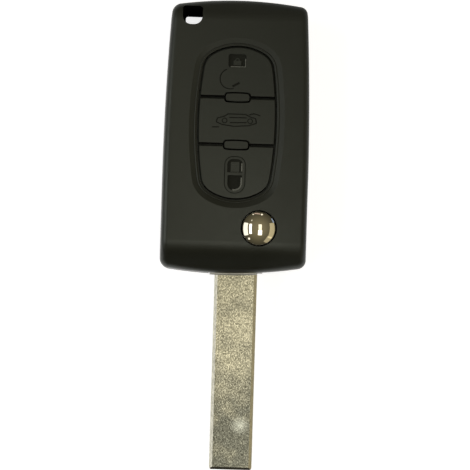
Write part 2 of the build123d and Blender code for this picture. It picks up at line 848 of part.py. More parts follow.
# Slotted roll pin through the head and the tang
with BuildPart() as blade_pin:
    with BuildSketch(Plane.XY.offset(head_bottom)):
        add(pin_plan())
        add(pin_plan(-pin_wall), mode=Mode.SUBTRACT)
        with Locations((pin_x, pin_y)):
            Rectangle(pin_wall, far, align=(Align.CENTER, Align.MIN), mode=Mode.SUBTRACT)
    extrude(amount=head_thickness)
blade_pin.part.label = "blade_pin"
export_step(blade_pin.part, "parts/blade_pin.step")

# Contact strips of the cell, each folded from one flat strip
for contact_name, end_sign in (("battery_contact_positive", 1), ("battery_contact_negative", -1)):
    outer_y = cell_y + end_sign * (cell_radius + contact_thickness)
    inner_y = outer_y - end_sign * contact_arm
    with BuildPart() as contact:
        with BuildSketch(Plane.YZ.offset(cell_x)):
            with BuildLine():
                Polyline(
                    (inner_y, back_skin),
                    (outer_y, back_skin),
                    (outer_y, back_skin + contact_height),
                    (outer_y - end_sign * contact_thickness, back_skin + contact_height),
                    (outer_y - end_sign * contact_thickness, back_skin + contact_thickness),
                    (inner_y, back_skin + contact_thickness),
                    close=True,
                )
            make_face()
        extrude(amount=contact_width / 2, both=True)
    contact.part.label = contact_name
    export_step(contact.part, f"parts/{contact_name}.step")
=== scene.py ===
"""Finishes, release dome, button signs, floor, light and camera of a folding key fob shell."""
import logging
import math
from dataclasses import dataclass, field
from enum import Enum

import bmesh
import bpy
from mathutils import Matrix, Vector


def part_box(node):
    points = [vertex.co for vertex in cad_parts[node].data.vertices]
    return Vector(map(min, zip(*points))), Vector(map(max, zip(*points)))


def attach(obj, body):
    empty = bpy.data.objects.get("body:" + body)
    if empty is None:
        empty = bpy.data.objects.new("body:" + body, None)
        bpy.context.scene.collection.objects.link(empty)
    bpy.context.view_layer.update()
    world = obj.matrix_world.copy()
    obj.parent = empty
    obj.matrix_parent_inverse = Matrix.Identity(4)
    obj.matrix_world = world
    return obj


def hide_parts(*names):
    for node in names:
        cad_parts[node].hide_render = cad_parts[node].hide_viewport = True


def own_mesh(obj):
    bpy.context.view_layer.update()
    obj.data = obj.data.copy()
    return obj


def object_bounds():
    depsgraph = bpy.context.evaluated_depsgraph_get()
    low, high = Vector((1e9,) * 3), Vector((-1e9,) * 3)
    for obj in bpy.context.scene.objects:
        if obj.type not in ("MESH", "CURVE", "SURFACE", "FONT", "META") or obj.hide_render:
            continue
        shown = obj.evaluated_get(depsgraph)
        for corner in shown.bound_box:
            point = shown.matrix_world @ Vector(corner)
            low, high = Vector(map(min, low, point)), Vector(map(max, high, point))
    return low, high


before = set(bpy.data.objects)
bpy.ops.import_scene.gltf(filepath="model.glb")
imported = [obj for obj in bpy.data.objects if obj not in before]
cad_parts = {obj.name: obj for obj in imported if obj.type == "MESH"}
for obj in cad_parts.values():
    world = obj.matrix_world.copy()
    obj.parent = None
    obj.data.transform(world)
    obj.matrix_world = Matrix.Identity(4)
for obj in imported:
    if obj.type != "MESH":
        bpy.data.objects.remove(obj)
CAD_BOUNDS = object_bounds()

log = logging.getLogger("key_fob")
MM = 0.001
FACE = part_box("front_cover")[1].z
MERGE_DISTANCE = 1e-6
NOISE_MIDDLE = (0.3, 0.7)
Point = tuple[float, float]
Triple = tuple[float, float, float]
Wire = bpy.types.NodeSocket
Feed = Wire | float | Triple


# Meshes and outlines


def mm(*values: float) -> tuple[float, ...]:
    """Millimetres as metres."""
    return tuple(value * MM for value in values)


def middle(node: str) -> Point:
    """Centre of a CAD node in plan."""
    low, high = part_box(node)
    return (low.x + high.x) / 2, (low.y + high.y) / 2


def new_piece(name: str, mesh: bpy.types.Mesh) -> bpy.types.Object:
    """Links a mesh to the scene as an object at the origin.

    Args:
        name: Name of the piece.
        mesh: Its mesh, already in place.

    Returns:
        The new object.
    """
    piece = bpy.data.objects.new(name, mesh)
    bpy.context.scene.collection.objects.link(piece)
    return piece


def piece_from(name: str, shape: bmesh.types.BMesh) -> bpy.types.Object:
    """Makes a piece of a shape, and frees the shape.

    Args:
        name: Name of the piece.
        shape: The shape.

    Returns:
        The piece.
    """
    mesh = bpy.data.meshes.new(name)
    shape.to_mesh(mesh)
    shape.free()
    return new_piece(name, mesh)


def plain_mesh(piece: bpy.types.Object) -> None:
    """Turns a piece with modifiers into the plain mesh that they give.

    Args:
        piece: The piece, which loses its modifiers.
    """
    depsgraph = bpy.context.evaluated_depsgraph_get()
    mesh = bpy.data.meshes.new_from_object(piece.evaluated_get(depsgraph))
    piece.modifiers.clear()
    piece.data = mesh
    mesh.name = piece.name


def smooth_shading(mesh: bpy.types.Mesh, angle: float) -> None:
    """Shades a mesh smooth, with edges sharp past an angle in degrees."""
    mesh.shade_smooth()
    mesh.set_sharp_from_angle(angle=math.radians(angle))


def merged_copy(name: str, node: str) -> bpy.types.Object:
    """Copies a CAD node as one closed mesh, without the normals that it was loaded with.

    Args:
        name: Name of the copy.
        node: Name of the CAD node.

    Returns:
        The copy as a new piece.
    """
    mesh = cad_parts[node].data.copy()
    shape = bmesh.new()
    shape.from_mesh(mesh)
    bmesh.ops.remove_doubles(shape, verts=shape.verts, dist=MERGE_DISTANCE)
    shape.to_mesh(mesh)
    shape.free()
    loaded_normals = mesh.attributes.get("custom_normal")
    if loaded_normals:
        mesh.attributes.remove(loaded_normals)
    return new_piece(name, mesh)


def combine(piece: bpy.types.Object, tool: bpy.types.Object, operation: str) -> None:
    """Cuts a tool out of a piece or joins it on, and removes the tool.

    Args:
        piece: The piece that changes.
        tool: The closed mesh that it is combined with.
        operation: DIFFERENCE or UNION.
    """
    modifier = piece.modifiers.new("combine", "BOOLEAN")
    modifier.object = tool
    modifier.operation = operation
    modifier.solver = "EXACT"
    modifier.material_mode = "TRANSFER"
    plain_mesh(piece)
    bpy.data.objects.remove(tool)


def prism(name: str, outline: list[Point], low: float, high: float) -> bpy.types.Object:
    """Closed upright solid over an outline.

    Args:
        name: Name of the piece.
        outline: Corners in plan, anticlockwise, in metres.
        low: Height of its bottom.
        high: Height of its top.

    Returns:
        The solid.
    """
    shape = bmesh.new()
    floor = [shape.verts.new((x, y, low)) for x, y in outline]
    roof = [shape.verts.new((x, y, high)) for x, y in outline]
    shape.faces.new(reversed(floor))
    shape.faces.new(roof)
    count = len(outline)
    for index in range(count):
        after = (index + 1) % count
        shape.faces.new((floor[index], floor[after], roof[after], roof[index]))
    return piece_from(name, shape)


def arc(centre: Point, radius: float, start: float, end: float, steps: int = 16) -> list[Point]:
    """Points along an arc.

    Args:
        centre: Its centre.
        radius: Its radius.
        start: Angle of its first point in degrees.
        end: Angle of its last point in degrees.
        steps: Straight steps between the two.

    Returns:
        The points in plan.
    """
    points = []
    for step in range(steps + 1):
        angle = math.radians(start + (end - start) * step / steps)
        points.append((centre[0] + radius * math.cos(angle), centre[1] + radius * math.sin(angle)))
    return points


def circle(centre: Point, radius: float, steps: int) -> list[Point]:
    """Corners of a circle, anticlockwise."""
    return arc(centre, radius, 0, 360 - 360 / steps, steps - 1)


@dataclass(frozen=True)
class RoundedBox:
    """Rectangle with round corners in plan: radii are those of its lower and its upper end."""

    centre: Point
    size: Point
    radii: Point
    steps: int = 8

    def outline(self) -> list[Point]:
        """Corners of the rectangle.

        Returns:
            The corners in plan, anticlockwise.
        """
        points = []
        for quarter, (right, up) in enumerate(((1, 1), (-1, 1), (-1, -1), (1, -1))):
            radius = self.radii[1] if up > 0 else self.radii[0]
            corner = (
                self.centre[0] + right * (self.size[0] / 2 - radius),
                self.centre[1] + up * (self.size[1] / 2 - radius),
            )
            points += arc(corner, radius, 90 * quarter, 90 * (quarter + 1), self.steps)
        return points


def grown(points: list[Point], distance: float) -> list[Point]:
    """Moves an outline outwards.

    Args:
        points: Its corners, anticlockwise.
        distance: How far each corner moves.

    Returns:
        The moved corners.
    """
    moved = []
    for index, (x, y) in enumerate(points):
        before, after = points[index - 1], points[(index + 1) % len(points)]
        along = Vector((after[0] - before[0], after[1] - before[1])).normalized()
        moved.append((x + distance * along.y, y - distance * along.x))
    return moved


def rims(node: str, level: float) -> list[list[Point]]:
    """Finds the closed edges where upright walls of a CAD node end at one height.

    Args:
        node: Name of the CAD node.
        level: The height.

    Returns:
        Each rim in plan, anticlockwise, the longest first.
    """
    shape = bmesh.new()
    shape.from_mesh(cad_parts[node].data)
    bmesh.ops.remove_doubles(shape, verts=shape.verts, dist=MERGE_DISTANCE)
    after: dict[bmesh.types.BMVert, list[bmesh.types.BMVert]] = {}
    upright = 0.1
    for edge in shape.edges:
        flat = all(abs(vert.co.z - level) < MERGE_DISTANCE for vert in edge.verts)
        if flat and sum(abs(face.normal.z) < upright for face in edge.link_faces) == 1:
            first, second = edge.verts
            after.setdefault(first, []).append(second)
            after.setdefault(second, []).append(first)
    found = []
    while after:
        here = next(iter(after))
        ring = []
        while here in after:
            ring.append((here.co.x, here.co.y))
            here = next((vert for vert in after.pop(here) if vert in after), None)
        area = sum(a[0] * b[1] - b[0] * a[1] for a, b in zip(ring, ring[1:] + ring[:1]))
        found.append(ring if area > 0 else ring[::-1])
    shape.free()
    return sorted(found, key=len, reverse=True)


# Node trees


def group_socket(
    tree: bpy.types.NodeTree, name: str, way: str, kind: str, value: Feed | None = None
) -> None:
    """Adds one named socket to a node group.

    Args:
        tree: The node group.
        name: Name of the socket.
        way: INPUT or OUTPUT.
        kind: Kind of the socket, such as Float or Vector.
        value: Value that an input starts with.
    """
    socket = tree.interface.new_socket(name=name, in_out=way, socket_type="NodeSocket" + kind)
    if value is not None:
        socket.default_value = value


class Wiring:
    """Node tree of a material, an effect or the room, with short ways to fill it."""

    def __init__(self, tree: bpy.types.NodeTree) -> None:
        """Takes the tree that gets the nodes."""
        self.tree = tree

    def fill(self, socket: Wire, value: Feed) -> None:
        """Links an output to an input, or writes a plain value into it.

        Args:
            socket: The input.
            value: Another node's output, a number, a vector, or a colour without its alpha.
        """
        if isinstance(value, Wire):
            self.tree.links.new(value, socket)
        elif socket.type == "RGBA":
            socket.default_value = (*value, 1.0)
        else:
            socket.default_value = value

    def feed(self, node: bpy.types.Node, values: dict[str, Feed]) -> None:
        """Fills the named inputs of a node."""
        for name, value in values.items():
            self.fill(node.inputs[name], value)

    def add(self, kind: str, values: dict[str, Feed] | None = None) -> bpy.types.Node:
        """Adds one node.

        Args:
            kind: Type of the node.
            values: What its named inputs get.

        Returns:
            The node.
        """
        node = self.tree.nodes.new(kind)
        self.feed(node, values or {})
        return node

    def math(
        self, operation: str, *values: Feed, kind: str = "Math", result: str = "Value"
    ) -> Wire:
        """Adds a Math or a Vector Math node.

        Args:
            operation: What it does.
            values: What its inputs get, in their order.
            kind: Math or VectorMath.
            result: Name of the output that counts.

        Returns:
            That output.
        """
        node = self.add("ShaderNode" + kind)
        node.operation = operation
        for socket, value in zip(node.inputs, values):
            self.fill(socket, value)
        return node.outputs[result]

    def spread(
        self, value: Wire, given: tuple[Feed, Feed], wanted: Point = (0.0, 1.0),
        smooth: bool = False,
    ) -> Wire:
        """Carries a value from one range over to another.

        Args:
            value: The value.
            given: Start and end of its own range.
            wanted: Start and end of the range that it gets.
            smooth: Whether it eases in and out.

        Returns:
            The value in its new range.
        """
        node = self.add("ShaderNodeMapRange")
        node.interpolation_type = "SMOOTHSTEP" if smooth else "LINEAR"
        names = ("Value", "From Min", "From Max", "To Min", "To Max")
        self.feed(node, dict(zip(names, (value, *given, *wanted))))
        return node.outputs["Result"]

    def mix(self, factor: Wire, first: Feed, second: Feed, blend: str = "MIX") -> Wire:
        """Mixes two colours by a mask.

        Args:
            factor: The mask.
            first: Colour where the mask is 0.
            second: Colour where the mask is 1.
            blend: How the second colour is laid on.

        Returns:
            The mixed colour.
        """
        node = self.add("ShaderNodeMix")
        node.data_type = "RGBA"
        node.blend_type = blend
        self.feed(node, {"Factor": factor, "A": first, "B": second})
        return node.outputs["Result"]

    def noise(self, place: Wire, scale: Feed, detail: float, roughness: float = 0.5) -> Wire:
        """Adds a noise and gives its grey value."""
        values = {"Vector": place, "Scale": scale, "Detail": detail, "Roughness": roughness}
        return self.add("ShaderNodeTexNoise", values).outputs["Fac"]

    def bump(self, shader: bpy.types.Node, height: Wire, depth: float) -> None:
        """Gives a shader a bump, on top of one that it has.

        Args:
            shader: The Principled shader.
            height: Height of the surface.
            depth: Depth that a height of 1 stands for, in metres.
        """
        bump = self.add("ShaderNodeBump", {"Distance": depth, "Height": height})
        for link in shader.inputs["Normal"].links:
            self.fill(bump.inputs["Normal"], link.from_socket)
        self.fill(shader.inputs["Normal"], bump.outputs["Normal"])

    def placed(self, effect: bpy.types.NodeTree, values: dict[str, Feed]) -> dict[str, Wire]:
        """Places a shared effect.

        Args:
            effect: The effect.
            values: Its own values for the effect's inputs.

        Returns:
            The effect's outputs by name.
        """
        node = self.add("ShaderNodeGroup")
        node.node_tree = effect
        self.feed(node, values)
        return {output.name: output for output in node.outputs}


def new_material(name: str) -> tuple[bpy.types.Material, Wiring, bpy.types.Node]:
    """Makes a material with a Principled shader.

    Args:
        name: Name of the material.

    Returns:
        The material, its wiring and its shader.
    """
    material = bpy.data.materials.new(name)
    material.use_nodes = True
    material.node_tree.nodes.clear()
    wiring = Wiring(material.node_tree)
    shader = wiring.add("ShaderNodeBsdfPrincipled")
    wiring.add("ShaderNodeOutputMaterial", {"Surface": shader.outputs["BSDF"]})
    return material, wiring, shader


# Effects that several finishes share


class Effect(Wiring):
    """Node group of an effect, which reads the piece's own coordinates."""

    def __init__(self, name: str, inputs: dict[str, float | Triple]) -> None:
        """Starts the group.

        Args:
            name: Name of the group.
            inputs: Its named inputs and the values that they start with.
        """
        super().__init__(bpy.data.node_groups.new(name, "ShaderNodeTree"))
        for label, value in inputs.items():
            kind = "Vector" if isinstance(value, tuple) else "Float"
            group_socket(self.tree, label, "INPUT", kind, value)
        self.given = self.add("NodeGroupInput").outputs
        self.place = self.add("ShaderNodeTexCoord").outputs["Object"]

    def along_key(self) -> Wire:
        """Place along the length of the key."""
        return self.add("ShaderNodeSeparateXYZ", {"Vector": self.place}).outputs["Y"]

    def scale(self, size: str) -> Wire:
        """Scale of a noise whose size is a named input."""
        return self.math("DIVIDE", 1.0, self.given[size])

    def finished(self, results: dict[str, Wire]) -> bpy.types.NodeTree:
        """Gives the group its outputs.

        Args:
            results: Each named output and what feeds it.

        Returns:
            The group.
        """
        for label in results:
            group_socket(self.tree, label, "OUTPUT", "Float")
        self.add("NodeGroupOutput", results)
        return self.tree


def grain_effect() -> bpy.types.NodeTree:
    """Fine eroded or cast grain: its height, a slow drift, and the polish that handling gives.

    Returns:
        The effect.
    """
    inputs = {"Grain Size": 0.2 * MM, "Drift Size": 8 * MM, "Polish Slope": (0.0, 0.0, 0.0)}
    grain_detail, drift_detail = 3.0, 2.0
    effect = Effect("MouldGrain", inputs)
    slope = effect.given["Polish Slope"]
    return effect.finished({
        "Height": effect.noise(effect.place, effect.scale("Grain Size"), grain_detail),
        "Drift": effect.noise(effect.place, effect.scale("Drift Size"), drift_detail),
        "Polish": effect.math("DOT_PRODUCT", effect.place, slope, kind="VectorMath"),
    })


def crown_effect() -> bpy.types.NodeTree:
    """Gentle fall of a face towards both ends of the key, as a height that is 0 in the middle.

    Returns:
        The effect.
    """
    effect = Effect("CrownedEnds", {
        "Top Start": 25.3 * MM, "Top End": 29.8 * MM, "Top Fall": 0.75 * MM,
        "Low Start": -22.8 * MM, "Low End": -29.8 * MM, "Low Fall": 2.2 * MM,
    })
    along = effect.along_key()
    falls = []
    for side in ("Top", "Low"):
        ends = (effect.given[side + " Start"], effect.given[side + " End"])
        eased = effect.spread(along, ends, smooth=True)
        falls.append(effect.math("MULTIPLY", eased, effect.given[side + " Fall"]))
    both = effect.math("ADD", *falls)
    return effect.finished({"Height": effect.math("MULTIPLY", both, -1.0)})


def speckle_effect() -> bpy.types.NodeTree:
    """Irregular small facets of a tumbled and plated strip, painted shade that grows towards the
    tip in random patches, and one round painted highlight.

    Returns:
        The effect.
    """
    effect = Effect("PlatedSpeckle", {
        "Speckle Size": 0.4 * MM, "Stretch": 1.6, "Patchy Shade Start": -44 * MM, "Patchy Shade End": -66 * MM,
        "Highlight Centre": (0.0, 0.0, 0.0), "Highlight Radius": 2.6 * MM,
    })
    facet_detail, facet_roughness, bright_facets = 6.0, 0.82, (0.36, 0.7)
    patch_size, patch_detail, patch_share, least_patchy_shade = 4 * MM, 4.0, 1.6, 0.75
    highlight_strength = 0.55
    squeeze = effect.add("ShaderNodeCombineXYZ", {"X": 1.0, "Y": effect.scale("Stretch"), "Z": 1.0})
    stretched = effect.math(
        "MULTIPLY", effect.place, squeeze.outputs["Vector"], kind="VectorMath", result="Vector"
    )
    size = effect.scale("Speckle Size")
    facets = effect.noise(stretched, size, facet_detail, facet_roughness)
    # Painted shade: the colour darkens towards the tip, broken up by random patches.
    ends = (effect.given["Patchy Shade Start"], effect.given["Patchy Shade End"])
    along = effect.spread(effect.along_key(), ends)
    patches = effect.noise(effect.place, 1 / patch_size, patch_detail)
    shaded_blend = effect.math("MULTIPLY_ADD", patches, patch_share, along)
    patchy_shade = effect.math("SUBTRACT", shaded_blend, least_patchy_shade)
    patchy_shade.node.use_clamp = True
    # Painted highlight: a round lighter spot near the tip.
    away = effect.math("DISTANCE", effect.place, effect.given["Highlight Centre"], kind="VectorMath")
    return effect.finished({
        "Height": facets,
        "Mask": effect.spread(facets, bright_facets),
        "Patchy Shade": patchy_shade,
        "Highlight": effect.spread(away, (0.0, effect.given["Highlight Radius"]), (highlight_strength, 0.0), True),
    })


@dataclass(frozen=True)
class SharedEffects:
    """The shared effects, made once."""

    grain: bpy.types.NodeTree = field(default_factory=grain_effect)
    crown: bpy.types.NodeTree = field(default_factory=crown_effect)
    speckle: bpy.types.NodeTree = field(default_factory=speckle_effect)


# Finishes


@dataclass(frozen=True)
class GrainFinish:
    """Finish with a fine mould or casting grain: plastic, rubber or plain metal."""

    name: str
    low_colour: Triple
    high_colour: Triple
    low_roughness: float
    high_roughness: float
    grain_size: float = 0.16 * MM
    grain_depth: float = 0.012 * MM
    drift_size: float = 7 * MM
    metallic: float = 0.0
    specular: float = 0.5
    tint: Triple = (1.0, 1.0, 1.0)
    polish_slope: Triple = (0.0, 0.0, 0.0)
    polish_limits: Point = (0.36, 0.66)
    crowned: bool = False

    def build(self, effects: SharedEffects) -> bpy.types.Material:
        """Makes the material.

        Args:
            effects: The shared effects.

        Returns:
            The material.
        """
        material, wiring, shader = new_material(self.name)
        values = {
            "Grain Size": self.grain_size,
            "Drift Size": self.drift_size,
            "Polish Slope": self.polish_slope,
        }
        grain = wiring.placed(effects.grain, values)
        limits = (self.low_roughness, self.high_roughness)
        roughness = wiring.spread(grain["Drift"], NOISE_MIDDLE, limits)
        if any(self.polish_slope):
            polished = wiring.math("ADD", roughness, grain["Polish"])
            low, high = self.polish_limits
            limited = wiring.add("ShaderNodeClamp", {"Value": polished, "Min": low, "Max": high})
            roughness = limited.outputs["Result"]
        wiring.feed(shader, {
            "Base Color": wiring.mix(grain["Drift"], self.low_colour, self.high_colour),
            "Roughness": roughness,
            "Metallic": self.metallic,
            "Specular IOR Level": self.specular,
            "Specular Tint": self.tint,
        })
        wiring.bump(shader, grain["Height"], self.grain_depth)
        if self.crowned:
            wiring.bump(shader, wiring.placed(effects.crown, {})["Height"], 1.0)
        return material


@dataclass(frozen=True)
class PlatedFinish:
    """Plated metal strip with small bright facets; given a shaded blend colour, it gets painted
    shade towards the tip in random patches and one round painted highlight.
    """

    name: str
    dull_colour: Triple
    bright_colour: Triple
    low_roughness: float
    high_roughness: float
    speckle_size: float = 0.45 * MM
    speckle_depth: float = 0.02 * MM
    stretch: float = 1.6
    shaded_blend_colour: Triple | None = None
    highlight_centre: Triple = (0.0, 0.0, 0.0)
    highlight_colour: Triple = (0.56, 0.58, 0.52)

    def build(self, effects: SharedEffects) -> bpy.types.Material:
        """Makes the material.

        Args:
            effects: The shared effects.

        Returns:
            The material.
        """
        material, wiring, shader = new_material(self.name)
        values = {
            "Speckle Size": self.speckle_size,
            "Stretch": self.stretch,
            "Highlight Centre": self.highlight_centre,
        }
        speckle = wiring.placed(effects.speckle, values)
        colour = wiring.mix(speckle["Mask"], self.dull_colour, self.bright_colour)
        # Painted shade towards the tip, then one round painted highlight near it.
        if self.shaded_blend_colour:
            shaded_blend = wiring.mix(speckle["Patchy Shade"], colour, self.shaded_blend_colour, "MULTIPLY")
            colour = wiring.mix(speckle["Highlight"], shaded_blend, self.highlight_colour)
        limits = (self.high_roughness, self.low_roughness)
        wiring.feed(shader, {
            "Base Color": colour,
            "Roughness": wiring.spread(speckle["Mask"], NOISE_MIDDLE, limits),
            "Metallic": 1.0,
        })
        wiring.bump(shader, speckle["Height"], self.speckle_depth)
        return material


class Finish(Enum):
    """Finishes of the key, each with the values that its material is made from."""

    CASE = GrainFinish(
        "case_black", (0.0055, 0.0061, 0.0045), (0.0085, 0.0092, 0.007), 0.44, 0.49,
        tint=(0.93, 1.0, 0.93), polish_slope=(6.0, 4.4, 0.0), crowned=True,
    )
    CAP = GrainFinish(
        "cap_black", (0.0065, 0.0074, 0.0058), (0.0095, 0.0105, 0.0085), 0.43, 0.47,
        0.12 * MM, 0.008 * MM, tint=(0.93, 1.0, 0.93), polish_slope=(5.0, 7.5, 0.0),
    )
    RUBBER = GrainFinish(
        "mat_rubber", (0.014, 0.014, 0.015), (0.022, 0.022, 0.023), 0.7, 0.8,
        0.3 * MM, 0.01 * MM,
    )
    # Rough eroded grain of the sign recesses and grooves, with a colour darker than the cap as
    # painted shade in them.
    SIGN = GrainFinish(
        "sign_eroded_and_shaded", (0.004, 0.0045, 0.0035), (0.006, 0.0065, 0.005), 0.6, 0.7,
        0.25 * MM, 0.03 * MM, specular=0.25, tint=(0.94, 1.0, 0.9),
    )
    # Lighter glossy finish of the sign ridges: a painted highlight along their edges.
    PAINTED_HIGHLIGHT = GrainFinish(
        "sign_painted_highlight", (0.03, 0.032, 0.028), (0.045, 0.048, 0.042), 0.22, 0.3,
        0.2 * MM, 0.004 * MM, specular=0.9, tint=(0.95, 1.0, 0.95),
    )
    # Near-black dull finish put where the key only lies in shade: painted shade in the gaps, round
    # the dome's stem and in the ring hole.
    PAINTED_SHADE = GrainFinish(
        "painted_shade_black", (0.003, 0.003, 0.003), (0.005, 0.005, 0.005), 0.9, 1.0, specular=0.0
    )
    HEAD = GrainFinish(
        "head_cast", (0.5, 0.5, 0.48), (0.62, 0.62, 0.6), 0.36, 0.5,
        0.3 * MM, 0.02 * MM, 3 * MM, 1.0,
    )
    SPRING = GrainFinish(
        "spring_drawn", (0.42, 0.40, 0.36), (0.55, 0.53, 0.48), 0.22, 0.34,
        0.08 * MM, 0.004 * MM, 2 * MM, 1.0,
    )
    CHROME = GrainFinish(
        "button_chrome", (0.60, 0.565, 0.47), (0.66, 0.62, 0.52), 0.03, 0.06,
        0.5 * MM, 0.0006 * MM, 3 * MM, 1.0,
    )
    BLADE = PlatedFinish(
        "blade_nickel", (0.12, 0.117, 0.082), (0.74, 0.70, 0.54), 0.18, 0.36,
        0.25 * MM, 0.02 * MM, 1.7,
        # Darker, cooler colour towards the tip is painted shade; the spot at the highlight centre
        # is a painted highlight.
        shaded_blend_colour=(0.34, 0.36, 0.39), highlight_centre=mm(2.6, -64.2, 8.8),
    )
    # Ground bevels along the blade's edges: a real ground finish, made lighter and more even than
    # the blade as a painted highlight along the edges.
    GROUND_AND_HIGHLIGHT = PlatedFinish(
        "blade_ground_and_highlight", (0.34, 0.33, 0.28), (0.56, 0.54, 0.46), 0.2, 0.3,
        0.3 * MM, 0.006 * MM, 4.0,
    )
    # Near-black metal for the blade's tip faces: painted shade, standing in for the dark
    # surroundings that they reflect.
    TIP_SHADE = PlatedFinish(
        "blade_tip_shade", (0.03, 0.026, 0.018), (0.09, 0.08, 0.055), 0.35, 0.5,
        0.2 * MM, 0.01 * MM,
    )
    PIN = PlatedFinish(
        "pin_steel", (0.40, 0.39, 0.37), (0.58, 0.57, 0.54), 0.25, 0.4, 0.2 * MM, 0.006 * MM
    )
    CONTACT = PlatedFinish(
        "contact_nickel", (0.52, 0.50, 0.44), (0.70, 0.67, 0.58), 0.18, 0.3,
        0.5 * MM, 0.004 * MM, 3.0,
    )


class Paintwork:
    """All materials of the key, made once."""

    def __init__(self) -> None:
        """Builds the shared effects and each finish."""
        effects = SharedEffects()
        self.materials: dict[Finish, bpy.types.Material] = {
            finish: finish.value.build(effects) for finish in Finish
        }

    def dress(self, piece: bpy.types.Object, finish: Finish) -> None:
        """Puts one finish on every slot of a piece.

        Args:
            piece: A CAD node or a piece of this script.
            finish: The finish that it gets.
        """
        if not piece.material_slots:
            piece.data.materials.append(None)
        for material_slot in piece.material_slots:
            material_slot.material = self.materials[finish]

    def add(self, piece: bpy.types.Object, finish: Finish) -> int:
        """Gives a piece one more finish, and tells the index by which its faces choose it."""
        piece.data.materials.append(self.materials[finish])
        return len(piece.data.materials) - 1


# Strokes that follow a path


class StrokeTool(Wiring):
    """Geometry Nodes tree that sweeps a rectangular stroke along the edges of a mesh."""

    def __init__(self) -> None:
        """Builds the tree."""
        corner_steps = 4
        super().__init__(bpy.data.node_groups.new("MouldedStroke", "GeometryNodeTree"))
        self.tree.is_modifier = True
        group_socket(self.tree, "Geometry", "INPUT", "Geometry")
        group_socket(self.tree, "Stroke Width", "INPUT", "Float", 0.3 * MM)
        group_socket(self.tree, "Stroke Height", "INPUT", "Float", 0.2 * MM)
        group_socket(self.tree, "Corner Radius", "INPUT", "Float", 0.1 * MM)
        group_socket(self.tree, "Material", "INPUT", "Material")
        group_socket(self.tree, "Geometry", "OUTPUT", "Geometry")
        given = self.add("NodeGroupInput").outputs
        curve = self.add("GeometryNodeMeshToCurve", {"Mesh": given["Geometry"]})
        corner = self.add("GeometryNodeFilletCurve")
        corner.mode = "POLY"
        self.feed(corner, {
            "Curve": curve.outputs["Curve"],
            "Count": corner_steps,
            "Radius": given["Corner Radius"],
            "Limit Radius": True,
        })
        upright = self.add("GeometryNodeSetCurveNormal", {"Curve": corner.outputs["Curve"]})
        upright.mode = "Z_UP"
        section = self.add("GeometryNodeCurvePrimitiveQuadrilateral", {
            "Width": given["Stroke Width"],
            "Height": given["Stroke Height"],
        })
        sweep = self.add("GeometryNodeCurveToMesh", {
            "Curve": upright.outputs["Curve"],
            "Profile Curve": section.outputs["Curve"],
            "Fill Caps": True,
        })
        real = self.add("GeometryNodeRealizeInstances", {"Geometry": sweep.outputs["Mesh"]})
        paint = self.add("GeometryNodeSetMaterial", {
            "Geometry": real.outputs["Geometry"],
            "Material": given["Material"],
        })
        self.add("NodeGroupOutput", {"Geometry": paint.outputs["Geometry"]})

    def stroke(
        self, name: str, path: list[Point], level: float, width: float, height: float,
        material: bpy.types.Material, closed: bool = True, corner: float = 0.0,
    ) -> bpy.types.Object:
        """Makes one stroke.

        Args:
            name: Name of the piece.
            path: Points in plan, in metres.
            level: Height of the stroke's middle.
            width: Width of the stroke.
            height: Height of the stroke.
            material: Its material.
            closed: Whether the last point joins the first.
            corner: Radius of its corners.

        Returns:
            The stroke as a plain closed mesh.
        """
        edges = [(index, index + 1) for index in range(len(path) - 1)]
        if closed:
            edges.append((len(path) - 1, 0))
        mesh = bpy.data.meshes.new(name)
        mesh.from_pydata([(x, y, level) for x, y in path], edges, [])
        piece = new_piece(name, mesh)
        modifier = piece.modifiers.new("stroke", "NODES")
        modifier.node_group = self.tree
        values = {
            "Stroke Width": width,
            "Stroke Height": height,
            "Corner Radius": corner,
            "Material": material,
        }
        for item in self.tree.interface.items_tree:
            if item.in_out == "INPUT" and item.name in values:
                modifier[item.identifier] = values[item.name]
        plain_mesh(piece)
        shape = bmesh.new()
        shape.from_mesh(piece.data)
        bmesh.ops.recalc_face_normals(shape, faces=shape.faces)
        shape.to_mesh(piece.data)
        shape.free()
        return piece


# Pieces of the key


